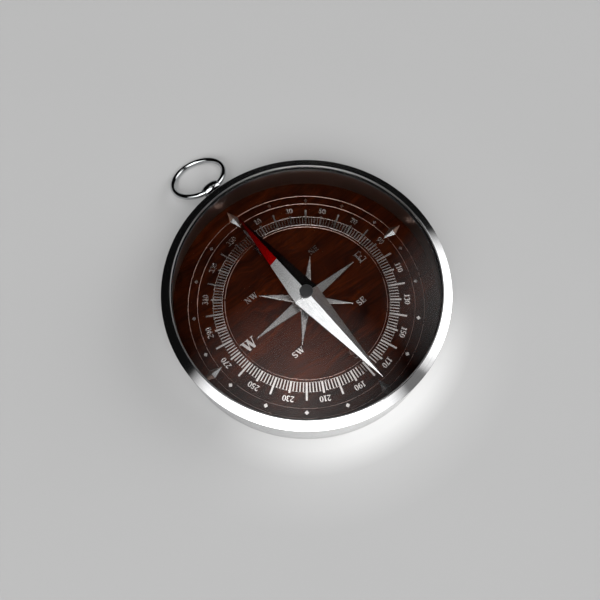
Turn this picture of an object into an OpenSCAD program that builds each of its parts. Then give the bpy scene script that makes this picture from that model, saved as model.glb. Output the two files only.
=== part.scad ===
// Pocket compass with an open face: a shallow steel case with a glass held in its bezel,
// a wood dial with applied metal furniture, a pivoted needle, and a bow ring on a stud.
// Millimetres. The origin is the centre of the resting face, +Z is up and +Y is dial north.

/* [Case] */
// Outside diameter of the case
case_d = 60; // [57:0.5:68]
// Thickness of the side wall
case_wall = 0.5; // [0.4:0.05:0.7]
// Thickness of the floor
case_floor = 0.5; // [0.45:0.05:0.8]
// Height of the side wall, from the resting face to the seat of the bezel
case_h = 10.6; // [10.4:0.1:12]
// Radius along the bottom edge
case_edge_r = 0.35; // [0.2:0.05:0.4]

/* [Bezel] */
// Height of the upright band at the outer edge
bezel_band_h = 0.34; // [0.2:0.02:0.6]
// Width of the sloping face, across the radius
bezel_slope_w = 1.85; // [1.5:0.05:2.1]
// Rise of the sloping face
bezel_slope_h = 0.95; // [0.7:0.05:1.2]
// Width of the flat lip inside the slope
bezel_lip_w = 0.35; // [0.2:0.05:0.5]
// Thickness of the lip over the glass
bezel_lip_t = 0.44; // [0.3:0.02:0.6]
// Chamfer round the inner edge of the lip
bezel_lip_chamfer = 0.1; // [0.05:0.01:0.15]
// Height of the spigot below the groove of the retaining ring
bezel_land_h = 0.65; // [0.4:0.05:0.9]
// Radial clearance between the spigot and the case wall
bezel_clear = 0.03; // [0.01:0.01:0.06]

/* [Glass] */
// Thickness of the flat glass
glass_t = 1.2; // [1:0.05:1.4]
// How far the glass reaches under the lip
glass_ledge = 0.55; // [0.45:0.05:0.65]
// Radial clearance round the glass, its gasket and the retaining ring
glass_clear = 0.05; // [0.03:0.01:0.08]
// Thickness of the gasket under the glass
gasket_t = 0.2; // [0.1:0.05:0.3]
// Height of the split retaining ring
retainer_t = 0.5; // [0.3:0.05:0.6]
// Radial width of the split retaining ring
retainer_w = 0.85; // [0.7:0.05:0.95]
// Depth of its groove in the bezel
groove_d = 0.35; // [0.25:0.05:0.4]
// Width of the split in the retaining ring
retainer_split = 3; // [1:0.5:6]

/* [Dial] */
// Thickness of the wood dial
dial_t = 0.9; // [0.7:0.1:1.2]
// Radial clearance between the dial and the case wall
dial_clear = 0.1; // [0.05:0.05:0.3]
// Height of the applied rings, ticks, letters and numerals
line_h = 0.18; // [0.1:0.02:0.3]
// Width of the ring lines
line_w = 0.27; // [0.2:0.01:0.35]
// From the edge of the dial to the outer ring line
outer_ring_inset = 3.36; // [3:0.04:3.6]
// From the outer ring line to the numeral ring line
marker_track_w = 2.04; // [1.8:0.04:2.2]
// From the numeral ring line to the outer line of the degree scale
numeral_track_w = 3.43; // [3.2:0.05:3.7]
// From the outer to the inner line of the degree scale
tick_track_w = 2.05; // [1.8:0.05:2.3]
// From the inner line of the degree scale to the thin ring inside it
scale_gap = 0.57; // [0.45:0.02:0.8]

/* [Degree scale] */
// Angle from one tick to the next
tick_step = 2; // [2, 5, 10]
// Width of a plain tick
tick_w = 0.33; // [0.25:0.01:0.4]
// Width of the ticks that stand out of the scale
bold_tick_w = 0.5; // [0.4:0.02:0.56]
// How far a medium tick stands out
medium_tick_out = 0.46; // [0.3:0.02:0.5]
// How far a long tick stands out
long_tick_out = 1.77; // [1.2:0.05:2.2]
// Height of the numerals
numeral_h = 1.24; // [1:0.02:1.4]

/* [Markers and rose] */
// Half diagonal of the small diamond markers
diamond_r = 0.5; // [0.35:0.05:0.6]
// Height of the small diamond markers
diamond_h = 0.25; // [0.15:0.05:0.4]
// From the numeral ring line to the centre of a diamond
diamond_in = 0.86; // [0.8:0.02:0.95]
// Length of the cardinal markers from their crest inwards
marker_in = 2.7; // [2:0.1:3.2]
// Length of the cardinal markers from their crest outwards
marker_out = 2.5; // [2:0.1:2.7]
// Half width of the cardinal markers
marker_w = 1.06; // [0.8:0.02:1.3]
// Height of the cardinal markers
marker_h = 0.55; // [0.4:0.05:0.8]
// From the tips of the cardinal rays to the thin ring inside the scale
letter_track_w = 3.98; // [3.6:0.02:4.6]
// Half width of a cardinal ray at the centre
ray_w = 1.48; // [1.3:0.02:1.7]
// Half width of a cardinal ray at its blunt tip
ray_tip_w = 0.12; // [0.08:0.02:0.2]
// From the tips of the intercardinal rays to the thin ring inside the scale
half_ray_gap = 7.5; // [6.5:0.1:9]
// Half width of an intercardinal ray at the centre
half_ray_w = 1.26; // [1.1:0.02:1.4]
// Half width of an intercardinal ray at its tip
half_ray_tip_w = 0.06; // [0.04:0.02:0.1]
// Height of the rose
rose_h = 0.32; // [0.2:0.02:0.4]
// Width and height of the bevel along the rays
rose_bevel = 0.12; // [0.05:0.01:0.15]
// Clearance of the widest letter, W, between the tip of its ray and the thin ring
letter_clear = 0.25; // [0.2:0.01:0.5]
// Height of the letters in NE, SE, SW and NW
half_letter_h = 1.28; // [1:0.02:1.5]
// From the tip of an intercardinal ray across to the middle of its letters
half_letter_across = 1.65; // [1.6:0.05:2]
// From the tip of an intercardinal ray up or down to the middle of its letters
half_letter_up = 0.7; // [0.65:0.05:0.9]

/* [Needle and pivot] */
// Height of the needle's crest above the dial
needle_h = 5.55; // [5.2:0.05:6]
// Height of the needle's two tips above the dial
needle_tip_h = 4.64; // [4.3:0.02:5]
// Height of the needle's side corners above the dial
needle_side_h = 3.33; // [3:0.05:3.6]
// Half width of the needle across its side corners
needle_w = 3.08; // [2.7:0.02:3.5]
// Clearance between the needle's tips and the lip of the bezel
needle_end_clear = 3.6; // [2.5:0.1:5]
// Thickness of the needle's sheet
needle_t = 0.45; // [0.3:0.05:0.6]
// From the centre to the start of the red paint
red_start = 10; // [6:0.5:14]
// Diameter of the cap
cap_d = 2.88; // [2.6:0.02:3]
// Height of the cap
cap_h = 2.5; // [2.2:0.05:2.8]
// How far the cap stands above the crest
cap_rise = 0.15; // [0.05:0.05:0.3]
// Chamfer round the top of the cap
cap_chamfer = 0.12; // [0.05:0.01:0.2]
// Clearance of the cap in the needle and of the jewel in the cap
cap_clear = 0.01; // [0.01:0.005:0.02]
// Diameter of the bearing jewel
jewel_d = 1.7; // [1.5:0.05:1.8]
// Height of the bearing jewel
jewel_h = 1.1; // [1:0.05:1.2]
// Thickness of the cap's roof over the jewel
cap_roof = 0.45; // [0.3:0.05:0.6]
// Depth of the conical cup in the jewel
cup_depth = 0.75; // [0.6:0.05:0.8]
// Diameter of the mouth of the cup
cup_d = 1.3; // [1.2:0.05:1.4]
// Diameter of the pivot post
post_d = 0.9; // [0.7:0.05:1]
// Length of the conical point of the post
post_point = 1; // [0.8:0.05:1.2]
// Diameter of the blunt end of the point
post_tip_d = 0.08; // [0.06:0.01:0.1]
// Gap between the point and the bottom of the cup
pivot_gap = 0.05; // [0.03:0.01:0.1]
// Diameter of the flange of the pivot base
flange_d = 4.4; // [4:0.1:5]
// Thickness of the flange of the pivot base
flange_t = 0.5; // [0.3:0.05:0.7]
// Diameter of the boss on the pivot base
boss_d = 2.2; // [1.8:0.1:2.6]
// Height of the boss on the pivot base
boss_h = 0.8; // [0.5:0.05:1]
// Diameter of the shank through the rose and the dial
base_shank_d = 3; // [2.6:0.1:3.2]
// Thickness of the pivot base under the post
base_web = 0.3; // [0.2:0.05:0.5]
// Radial clearance of the shank and of the stud in their holes
shank_clear = 0.02; // [0.01:0.01:0.04]

/* [Bow] */
// Diameter of the bow ring, along the middle of its wire
bow_d = 12.72; // [11:0.02:14]
// Diameter of the wire of the bow ring
wire_d = 1.3; // [1.1:0.05:1.4]
// Height of the bow's hinge above the resting face
bow_h = 5.7; // [5.2:0.1:6.3]
// From the case wall to the bow's hinge
bow_reach = 3.6; // [3.3:0.1:4.2]
// Diameter of the barrel on the stud
barrel_d = 3.2; // [3.1:0.05:3.6]
// Length of the barrel on the stud
barrel_len = 4.5; // [3.8:0.1:4.6]
// How much thinner the barrel is at its ends, on the radius
barrel_crown = 0.15; // [0.05:0.01:0.16]
// Diameter of the collar against the case wall
collar_d = 2.7; // [2.4:0.05:3]
// Chamfer round the end of the collar
collar_chamfer = 0.2; // [0.1:0.02:0.25]
// Diameter of the stud's shank
stud_shank_d = 1.8; // [1.5:0.05:1.9]
// Running clearance of the wire in the barrel
bow_clear = 0.06; // [0.04:0.01:0.1]

/* [Hidden] */
$fn = 96;

// One overrun for every cut that passes a face
cut = 1;

// Radii and heights of the case, the bezel and the glass
case_r = case_d / 2;
wall_r = case_r - case_wall;
lip_r = case_r - bezel_slope_w - bezel_lip_w;
bezel_top = case_h + bezel_band_h + bezel_slope_h;
spigot_r = wall_r - bezel_clear;
glass_r = lip_r + glass_ledge;
glass_base = bezel_top - bezel_lip_t - glass_t;
bezel_bore_r = glass_r + glass_clear;
gasket_base = glass_base - gasket_t;
groove_r = bezel_bore_r + groove_d;
retainer_r = groove_r - glass_clear;
retainer_in_r = retainer_r - retainer_w;
retainer_base = gasket_base - retainer_t;
spigot_base = retainer_base - bezel_land_h;

// Radii on the dial, from its edge inwards
dial_r = wall_r - dial_clear;
dial_top = case_floor + dial_t;
outer_ring_r = dial_r - outer_ring_inset;
numeral_ring_r = outer_ring_r - marker_track_w;
scale_out_r = numeral_ring_r - numeral_track_w;
scale_in_r = scale_out_r - tick_track_w;
inner_ring_r = scale_in_r - scale_gap;
ray_len = inner_ring_r - letter_track_w;
half_ray_len = inner_ring_r - half_ray_gap;
numeral_r = (numeral_ring_r + scale_out_r) / 2;
letter_r = inner_ring_r - letter_track_w / 2;
diamond_track_r = numeral_ring_r + diamond_in;

// Bold ticks and numerals come in steps of ten degrees, long ticks and diamonds in twenties
medium_step = 10;
long_step = 20;

// Heights of the pivot and the needle
rose_top = dial_top + rose_h;
flange_top = rose_top + flange_t;
boss_top = flange_top + boss_h;
crest_z = dial_top + needle_h;
cap_top = crest_z + cap_rise;
cap_base = cap_top - cap_h;
jewel_top = cap_top - cap_roof;
jewel_base = jewel_top - jewel_h;
cup_top = jewel_base + cup_depth;
point_z = cup_top - pivot_gap;
needle_len = lip_r - needle_end_clear;
base_hole_r = base_shank_d / 2 + shank_clear;

// The hinge of the bow, and the slope at which the ring rests on the surface under the case
bow_y = case_r + bow_reach;
bow_r = bow_d / 2;
bow_tilt = asin((bow_h - wire_d / 2) / bow_d);

// Radius of the arc that narrows the barrel by its crown at both ends
crown_r = (pow(barrel_len / 2, 2) + pow(barrel_crown, 2)) / (2 * barrel_crown);

// Steps in the bottom edge's round and in the arc of a glyph
edge_steps = 6;
glyph_steps = 10;

// An arc of an ellipse as a list of points, from angle a to angle b
function arc(c, r, a, b) = [
    for (i = [0 : glyph_steps])
        let (t = a + (b - a) * i / glyph_steps)
        [c.x + r.x * cos(t), c.y + r.y * sin(t)]
];

// Glyphs in shares of their height: name, width, straight strokes, curved strokes, loops.
// A straight stroke is [x, y, x, y, width across], with level ends.
// A loop is [centre, outer radii, inner radii].
glyph_shares = [
    ["0", 0.66, [], [], [[[0.33, 0.5], [0.33, 0.5], [0.13, 0.41]]]],
    ["1", 0.56, [
        [0.31, 0, 0.31, 1, 0.21],
        [0.29, 0, 0.29, 0.09, 0.5],
        [0.1, 0.76, 0.3, 1, 0.14]
    ], [], []],
    ["2", 0.66, [
        [0.34, 0, 0.34, 0.15, 0.6],
        [0.12, 0.1, 0.47, 0.56, 0.13]
    ], [
        arc([0.31, 0.69], [0.23, 0.24], 170, -40)
    ], []],
    ["3", 0.62, [], [
        arc([0.28, 0.73], [0.21, 0.21], 155, -85),
        arc([0.28, 0.28], [0.24, 0.23], 85, -155)
    ], []],
    ["5", 0.64, [
        [0.36, 0.86, 0.36, 1, 0.46],
        [0.16, 0.46, 0.2, 0.92, 0.11]
    ], [
        arc([0.29, 0.31], [0.25, 0.25], 120, -155)
    ], []],
    ["7", 0.64, [
        [0.33, 0.85, 0.33, 1, 0.6],
        [0.22, 0, 0.53, 0.9, 0.19]
    ], [], []],
    ["9", 0.66, [], [
        arc([0.18, 0.66], [0.39, 0.6], 5, -95)
    ], [[[0.33, 0.67], [0.32, 0.33], [0.13, 0.23]]]],
    ["N", 0.97, [
        [0.17, 0, 0.17, 1, 0.09],
        [0.8, 0, 0.18, 1, 0.25],
        [0.8, 0, 0.8, 1, 0.09],
        [0.16, 0.93, 0.16, 1, 0.32],
        [0.17, 0, 0.17, 0.07, 0.32],
        [0.8, 0.93, 0.8, 1, 0.32]
    ], [], []],
    ["E", 0.88, [
        [0.23, 0, 0.23, 1, 0.22],
        [0.43, 0, 0.43, 0.08, 0.84],
        [0.41, 0.92, 0.41, 1, 0.8],
        [0.42, 0.46, 0.42, 0.54, 0.38],
        [0.8, 0, 0.84, 0.27, 0.07],
        [0.78, 0.74, 0.77, 1, 0.07],
        [0.6, 0.37, 0.6, 0.63, 0.06]
    ], [], []],
    ["S", 0.74, [
        [0.6, 0.7, 0.6, 0.98, 0.06],
        [0.11, 0.02, 0.11, 0.31, 0.06]
    ], [
        concat(
            arc([0.36, 0.74], [0.25, 0.215], 25, 250),
            arc([0.37, 0.265], [0.27, 0.22], 65, -150)
        )
    ], []],
    ["W", 1.44, [
        [0.5, 0, 0.24, 1, 0.25],
        [0.5, 0, 0.74, 0.96, 0.09],
        [0.98, 0, 0.72, 1, 0.25],
        [0.98, 0, 1.27, 1, 0.09],
        [0.22, 0.93, 0.22, 1, 0.44],
        [0.72, 0.93, 0.72, 1, 0.4],
        [1.27, 0.93, 1.27, 1, 0.3]
    ], [], []]
];
// Thick and thin width of a curved stroke, and the space between glyphs
thick_share = 0.21;
thin_share = 0.1;
gap_share = 0.04;

// The glyph with the name c
function glyph(c) = [for (g = glyph_shares) if (g[0] == c) g][0];

// Width of the first n glyphs of s with the spaces after them, in shares of the height
function run(s, n) = n == 0 ? 0 : run(s, n - 1) + glyph(s[n - 1])[1] + gap_share;

// Unit direction of a stroke at its point i
function heading(p, i) =
    let (d = p[min(i + 1, len(p) - 1)] - p[max(i - 1, 0)])
    d / norm(d);

// One side of a curved stroke, which is thick halfway and thin at its ends
function side(p, sign) = [
    for (i = [0 : len(p) - 1])
        let (
            t = heading(p, i),
            w = thin_share + (thick_share - thin_share) * sin(180 * i / (len(p) - 1))
        )
        p[i] + sign * w / 2 * [-t.y, t.x]
];

// A list in reverse order
function reversed(p) = [for (i = [len(p) - 1 : -1 : 0]) p[i]];

// Height of the letters N, E, S and W
letter_h = (letter_track_w - 2 * letter_clear) / glyph("W")[1];

// Where a point on the dial lies at a radius and a bearing clockwise from north
function bearing(r, a) = [r * sin(a), r * cos(a)];

// A straight stroke of height h
module straight(s, h) {
    polygon(h * [
        [s[0] - s[4] / 2, s[1]],
        [s[0] + s[4] / 2, s[1]],
        [s[2] + s[4] / 2, s[3]],
        [s[2] - s[4] / 2, s[3]]
    ]);
}

// An oval loop of height h
module loop(l, h) {
    difference() {
        polygon(h * oval(l[0], l[1]));
        polygon(h * oval(l[0], l[2]));
    }
}

// A whole oval with one point for each step of a full turn
function oval(c, r) = [
    for (i = [0 : 2 * glyph_steps - 1])
        let (t = 180 * i / glyph_steps)
        [c.x + r.x * cos(t), c.y + r.y * sin(t)]
];

// One glyph of height h
module glyph_shape(c, h) {
    g = glyph(c);
    for (s = g[2]) straight(s, h);
    for (p = g[3]) polygon(h * concat(side(p, -1), reversed(side(p, 1))));
    for (l = g[4]) loop(l, h);
}

// A word of height h, centred on the origin
module word(s, h) {
    width = (run(s, len(s)) - gap_share) * h;
    translate([-width / 2, -h / 2])
        for (i = [0 : len(s) - 1])
            translate([run(s, i) * h, 0]) glyph_shape(s[i], h);
}

// A flat ring line on the dial, cut away under the cardinal markers
module ring_line(r) {
    difference() {
        circle(r + line_w / 2, $fn = 180);
        circle(r - line_w / 2, $fn = 180);
        for (a = [0 : 90 : 270]) rotate(a) marker_outline();
    }
}

// Outline of the marker at north
module marker_outline() {
    polygon([
        [0, outer_ring_r - marker_in],
        [marker_w, outer_ring_r],
        [0, outer_ring_r + marker_out],
        [-marker_w, outer_ring_r]
    ]);
}

// A pyramid on a level outline of four points, in clockwise order from above
module pyramid(outline, peak) {
    polyhedron(
        points = concat([for (p = outline) [p.x, p.y, 0]], [peak]),
        faces = [[3, 2, 1, 0], [0, 1, 4], [1, 2, 4], [2, 3, 4], [3, 0, 4]]
    );
}

// A solid between a lower and an upper outline of four points each, counterclockwise
module loft(lower, upper) {
    polyhedron(
        points = concat(lower, upper),
        faces = [
            [0, 1, 2], [0, 2, 3], [6, 5, 4], [7, 6, 4],
            for (i = [0 : 3]) let (j = (i + 1) % 4) each [[i, i + 4, j + 4], [i, j + 4, j]]
        ]
    );
}

// One ray of the rose towards north: an upright edge with a bevel above it
module ray(length, w, tip_w) {
    upright = rose_h - rose_bevel;
    // The bevel's upper edges meet in a narrow end before the tip
    end_w = tip_w / 2;
    end = length * (w - rose_bevel - end_w) / (w - tip_w);
    linear_extrude(upright) ray_outline(length, w, tip_w);
    loft(
        [[-w, 0, upright], [w, 0, upright], [tip_w, length, upright], [-tip_w, length, upright]],
        [
            [rose_bevel - w, 0, rose_h],
            [w - rose_bevel, 0, rose_h],
            [end_w, end, rose_h],
            [-end_w, end, rose_h]
        ]
    );
}

module ray_outline(length, w, tip_w) {
    polygon([[-w, 0], [w, 0], [tip_w, length], [-tip_w, length]]);
}

// A round piece from radius and height points
module turned(points) {
    rotate_extrude() polygon(points);
}

// Thin drawn pan: floor, rounded edge and side wall, with a hole for the stud
module case_pan() {
    color([0.72, 0.73, 0.74]) difference() {
        turned([
            [0, 0],
            for (i = [0 : edge_steps])
                let (t = 90 * i / edge_steps)
                [case_r - case_edge_r + case_edge_r * sin(t), case_edge_r - case_edge_r * cos(t)],
            [case_r, case_h],
            [wall_r, case_h],
            [wall_r, case_floor],
            [0, case_floor]
        ]);
        translate([0, case_r + cut, bow_h])
            rotate([90, 0, 0])
                cylinder(h = case_wall + 2 * cut, d = stud_shank_d + 2 * shank_clear);
    }
}

// Sloping bezel with a lip over the glass and a spigot inside the case wall
module bezel() {
    color([0.66, 0.67, 0.69]) turned([
        [spigot_r, spigot_base],
        [spigot_r, case_h],
        [case_r, case_h],
        [case_r, case_h + bezel_band_h],
        [lip_r + bezel_lip_w, bezel_top],
        [lip_r + bezel_lip_chamfer, bezel_top],
        [lip_r, bezel_top - bezel_lip_chamfer],
        [lip_r, glass_base + glass_t],
        [bezel_bore_r, glass_base + glass_t],
        [bezel_bore_r, gasket_base],
        [groove_r, gasket_base],
        [groove_r, retainer_base],
        [bezel_bore_r, retainer_base],
        [bezel_bore_r, spigot_base]
    ]);
}

// Flat glass under the lip
module glass() {
    color([0.85, 0.92, 0.95, 0.3]) translate([0, 0, glass_base])
        cylinder(h = glass_t, r = glass_r, $fn = 180);
}

// Thin gasket between the glass and the retaining ring
module glass_gasket() {
    color([0.1, 0.1, 0.11]) translate([0, 0, gasket_base]) difference() {
        cylinder(h = gasket_t, r = glass_r, $fn = 180);
        translate([0, 0, -cut]) cylinder(h = gasket_t + 2 * cut, r = retainer_in_r, $fn = 180);
    }
}

// Split spring ring in the groove of the bezel, with its split at south
module glass_retaining_ring() {
    color([0.5, 0.51, 0.53]) translate([0, 0, retainer_base]) difference() {
        cylinder(h = retainer_t, r = retainer_r, $fn = 180);
        translate([0, 0, -cut]) cylinder(h = retainer_t + 2 * cut, r = retainer_in_r, $fn = 180);
        translate([-retainer_split / 2, -retainer_r - cut, -cut])
            cube([retainer_split, retainer_w + 2 * cut, retainer_t + 2 * cut]);
    }
}

// Round wood dial on the floor of the case
module wood_dial() {
    color([0.34, 0.13, 0.08]) translate([0, 0, case_floor]) difference() {
        cylinder(h = dial_t, r = dial_r, $fn = 180);
        translate([0, 0, -cut]) cylinder(h = dial_t + 2 * cut, r = base_hole_r);
    }
}

// Thin ring line outside the diamonds, in four arcs between the cardinal markers
module outer_ring() {
    color([0.78, 0.7, 0.66]) translate([0, 0, dial_top])
        linear_extrude(line_h) ring_line(outer_ring_r);
}

// Thin ring line between the diamonds and the numerals
module numeral_ring() {
    color([0.78, 0.7, 0.66]) translate([0, 0, dial_top])
        linear_extrude(line_h) ring_line(numeral_ring_r);
}

// Two ring lines with a tick for each step between them, some standing out
module degree_scale() {
    color([0.85, 0.8, 0.77]) translate([0, 0, dial_top]) linear_extrude(line_h) {
        ring_line(scale_out_r);
        ring_line(scale_in_r);
        for (a = [0 : tick_step : 359]) rotate(-a) {
            bold = a % medium_step == 0;
            out = a % long_step == 0 ? long_tick_out : bold ? medium_tick_out : 0;
            w = bold ? bold_tick_w : tick_w;
            translate([-w / 2, scale_in_r]) square([w, tick_track_w + out]);
        }
    }
}

// Thin ring line inside the degree scale
module scale_inner_ring() {
    color([0.78, 0.7, 0.66]) translate([0, 0, dial_top])
        linear_extrude(line_h) ring_line(inner_ring_r);
}

// Numerals 10, 30, 50 to 350, with their tops outwards
module degree_numerals() {
    color([0.85, 0.8, 0.77]) translate([0, 0, dial_top]) linear_extrude(line_h)
        for (a = [medium_step : long_step : 359])
            rotate(-a) translate([0, numeral_r]) word(str(a), numeral_h);
}

// Small four-sided pyramids, except at north and south
module diamond_markers() {
    color([0.9, 0.9, 0.9]) translate([0, 0, dial_top])
        for (a = [long_step : long_step : 359])
            if (a % 180 != 0) rotate(-a) translate([0, diamond_track_r]) pyramid(
                [[0, diamond_r], [diamond_r, 0], [0, -diamond_r], [-diamond_r, 0]],
                [0, 0, diamond_h]
            );
}

// Long four-sided pyramids at north, east, south and west
module cardinal_markers() {
    color([0.92, 0.92, 0.92]) translate([0, 0, dial_top])
        for (a = [0 : 90 : 270]) rotate(a) pyramid(
            [
                [0, outer_ring_r + marker_out],
                [marker_w, outer_ring_r],
                [0, outer_ring_r - marker_in],
                [-marker_w, outer_ring_r]
            ],
            [0, outer_ring_r, marker_h]
        );
}

// Cross of four long rays, drilled for the shank of the pivot base
module rose_cardinal_rays() {
    color([0.75, 0.74, 0.73]) translate([0, 0, dial_top]) difference() {
        for (a = [0 : 90 : 270]) rotate(a) ray(ray_len, ray_w, ray_tip_w);
        translate([0, 0, -cut]) cylinder(h = rose_h + 2 * cut, r = base_hole_r);
    }
}

// Four short rays between the long ones, each cut to the cross and to the shank's hole
module rose_intercardinal_rays() {
    color([0.68, 0.66, 0.65]) translate([0, 0, dial_top]) difference() {
        for (a = [45 : 90 : 315]) rotate(a) ray(half_ray_len, half_ray_w, half_ray_tip_w);
        for (a = [0 : 90 : 270]) rotate(a) translate([0, 0, -cut])
            linear_extrude(rose_h + 2 * cut) ray_outline(ray_len, ray_w, ray_tip_w);
        translate([0, 0, -cut]) cylinder(h = rose_h + 2 * cut, r = base_hole_r);
    }
}

// Upright letters N, E, S and W between the rose and the degree scale
module cardinal_letters() {
    color([0.9, 0.87, 0.85]) translate([0, 0, dial_top]) linear_extrude(line_h)
        for (m = [["N", 0], ["E", 90], ["S", 180], ["W", 270]])
            translate(bearing(letter_r, m[1])) word(m[0], letter_h);
}

// Upright letters NE, SE, SW and NW beyond the tips of the short rays
module intercardinal_letters() {
    tip = half_ray_len * sin(45);
    color([0.9, 0.87, 0.85]) translate([0, 0, dial_top]) linear_extrude(line_h)
        for (m = [["NE", 1, 1], ["SE", 1, -1], ["SW", -1, -1], ["NW", -1, 1]])
            translate([m[1] * (tip + half_letter_across), m[2] * (tip + half_letter_up)])
                word(m[0], half_letter_h);
}

// Brass base: a shank that stands on the floor, with a flange and boss over the rose
module pivot_base() {
    color([0.75, 0.6, 0.3]) turned([
        [0, case_floor],
        [base_shank_d / 2, case_floor],
        [base_shank_d / 2, rose_top],
        [flange_d / 2, rose_top],
        [flange_d / 2, flange_top],
        [boss_d / 2, flange_top],
        [boss_d / 2, boss_top],
        [post_d / 2, boss_top],
        [post_d / 2, case_floor + base_web],
        [0, case_floor + base_web]
    ]);
}

// Hard steel post with a conical point, driven into the pivot base
module pivot_post() {
    color([0.6, 0.61, 0.63]) turned([
        [0, case_floor + base_web],
        [post_d / 2, case_floor + base_web],
        [post_d / 2, point_z - post_point],
        [post_tip_d / 2, point_z],
        [0, point_z]
    ]);
}

// Folded sheet: four sloping facets that meet along a crest and across the middle
module needle_sheet() {
    tip_z = dial_top + needle_tip_h;
    side_z = dial_top + needle_side_h;
    top = [
        [0, needle_len, tip_z], [needle_w, 0, side_z], [0, -needle_len, tip_z],
        [-needle_w, 0, side_z], [0, 0, crest_z]
    ];
    bottom = [for (p = top) p - [0, 0, needle_t]];
    polyhedron(
        points = concat(top, bottom),
        faces = [
            for (i = [0 : 3]) let (j = (i + 1) % 4) each [
                [i, j, 4], [j + 5, i + 5, 9], [i + 5, j + 5, j], [i + 5, j, i]
            ]
        ]
    );
}

// The needle, with its north end painted red
module needle() {
    difference() {
        union() {
            color([0.93, 0.93, 0.93]) difference() {
                needle_sheet();
                north_end();
            }
            color([0.75, 0.02, 0.02]) intersection() {
                needle_sheet();
                north_end();
            }
        }
        translate([0, 0, dial_top])
            cylinder(h = needle_h + cut, r = cap_d / 2 + cap_clear);
    }
}

// The space that holds the painted end
module north_end() {
    translate([-needle_w, red_start, dial_top])
        cube([2 * needle_w, needle_len, needle_h + cut]);
}

// Dark cap pressed through the needle, bored from below for the jewel
module needle_cap() {
    bore_r = jewel_d / 2 + cap_clear;
    color([0.25, 0.25, 0.27]) turned([
        [bore_r, cap_base],
        [cap_d / 2, cap_base],
        [cap_d / 2, cap_top - cap_chamfer],
        [cap_d / 2 - cap_chamfer, cap_top],
        [0, cap_top],
        [0, jewel_top],
        [bore_r, jewel_top]
    ]);
}

// Bearing jewel with a conical cup that rides on the point of the post
module jewel_bearing() {
    color([0.7, 0.1, 0.2]) turned([
        [cup_d / 2, jewel_base],
        [jewel_d / 2, jewel_base],
        [jewel_d / 2, jewel_top],
        [0, jewel_top],
        [0, cup_top]
    ]);
}

// Stud: a crowned barrel across the shank, with a flared bore for the wire of the ring
module bow_stud() {
    color([0.8, 0.81, 0.82]) difference() {
        union() {
            translate([0, bow_y, bow_h]) rotate([0, 90, 0]) rotate_extrude() barrel_profile();
            translate([0, bow_y, bow_h])
                rotate([90, 0, 0])
                    cylinder(h = bow_reach + case_wall, d = stud_shank_d);
        }
        translate([0, bow_y, bow_h]) rotate([0, 90, 0]) rotate_extrude() flare_profile();
    }
}

// Half section of the barrel: a flat inner side and an arc that narrows it to both ends
module barrel_profile() {
    intersection() {
        translate([0, -barrel_len / 2]) square([barrel_d / 2, barrel_len]);
        translate([barrel_d / 2 - crown_r, 0]) circle(crown_r, $fn = 180);
    }
}

// Half section of the bore: as wide as the curved wire needs when the ring swings
module flare_profile() {
    difference() {
        translate([0, -barrel_len / 2 - bow_clear])
            square([barrel_d / 2, barrel_len + 2 * bow_clear]);
        translate([bow_r, 0]) circle(bow_r - wire_d / 2 - bow_clear, $fn = 180);
    }
}

// Collar round the shank, hollowed at its root to sit on the round case wall
module stud_collar() {
    color([0.7, 0.71, 0.73]) difference() {
        translate([0, bow_y - barrel_d / 2, bow_h]) rotate([90, 0, 0]) turned([
            [stud_shank_d / 2 + shank_clear, 0],
            [collar_d / 2 - collar_chamfer, 0],
            [collar_d / 2, collar_chamfer],
            [collar_d / 2, bow_reach],
            [stud_shank_d / 2 + shank_clear, bow_reach]
        ]);
        cylinder(h = case_h, r = case_r, $fn = 180);
    }
}

// Round wire ring through the barrel, lying down with its far side on the surface
module bow_ring() {
    color([0.78, 0.79, 0.8]) translate([0, bow_y, bow_h])
        rotate([-bow_tilt, 0, 0])
            translate([0, bow_r, 0])
                rotate_extrude() translate([bow_r, 0]) circle(d = wire_d, $fn = 48);
}

case_pan();
bezel();
glass();
glass_gasket();
glass_retaining_ring();
wood_dial();
outer_ring();
numeral_ring();
degree_scale();
scale_inner_ring();
degree_numerals();
diamond_markers();
cardinal_markers();
rose_cardinal_rays();
rose_intercardinal_rays();
cardinal_letters();
intercardinal_letters();
pivot_base();
pivot_post();
needle();
needle_cap();
jewel_bearing();
bow_stud();
stud_collar();
bow_ring();
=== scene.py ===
"""Pocket compass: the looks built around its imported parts.

Lengths in the classes are millimetres in the frame of the parts: the origin is the centre of the
resting face, +Z is up, +Y is dial north and +X is dial east. Bearings run clockwise from north.
"""

import logging
import math
from dataclasses import dataclass
from enum import Enum
from typing import Any, Sequence

import bmesh
import bpy
import numpy as np
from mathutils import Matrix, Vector


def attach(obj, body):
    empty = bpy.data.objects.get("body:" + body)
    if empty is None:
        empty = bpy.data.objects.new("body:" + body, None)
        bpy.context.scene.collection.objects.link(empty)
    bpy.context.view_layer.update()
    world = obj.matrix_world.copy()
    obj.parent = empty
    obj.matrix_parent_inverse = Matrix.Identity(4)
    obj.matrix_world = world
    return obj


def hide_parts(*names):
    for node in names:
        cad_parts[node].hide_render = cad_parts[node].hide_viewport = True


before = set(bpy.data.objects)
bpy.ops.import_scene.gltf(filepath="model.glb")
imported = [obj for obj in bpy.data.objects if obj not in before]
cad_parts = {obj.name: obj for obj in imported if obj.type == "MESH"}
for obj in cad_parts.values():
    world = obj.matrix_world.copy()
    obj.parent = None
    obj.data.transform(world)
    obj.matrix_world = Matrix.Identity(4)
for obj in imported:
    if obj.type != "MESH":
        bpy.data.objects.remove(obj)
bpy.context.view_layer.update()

log = logging.getLogger("compass")
Colour = tuple[float, float, float]
Faces = tuple[np.ndarray, np.ndarray]
Piece = bpy.types.Object
Material = bpy.types.Material
Node = bpy.types.Node
Socket = bpy.types.NodeSocket

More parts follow.
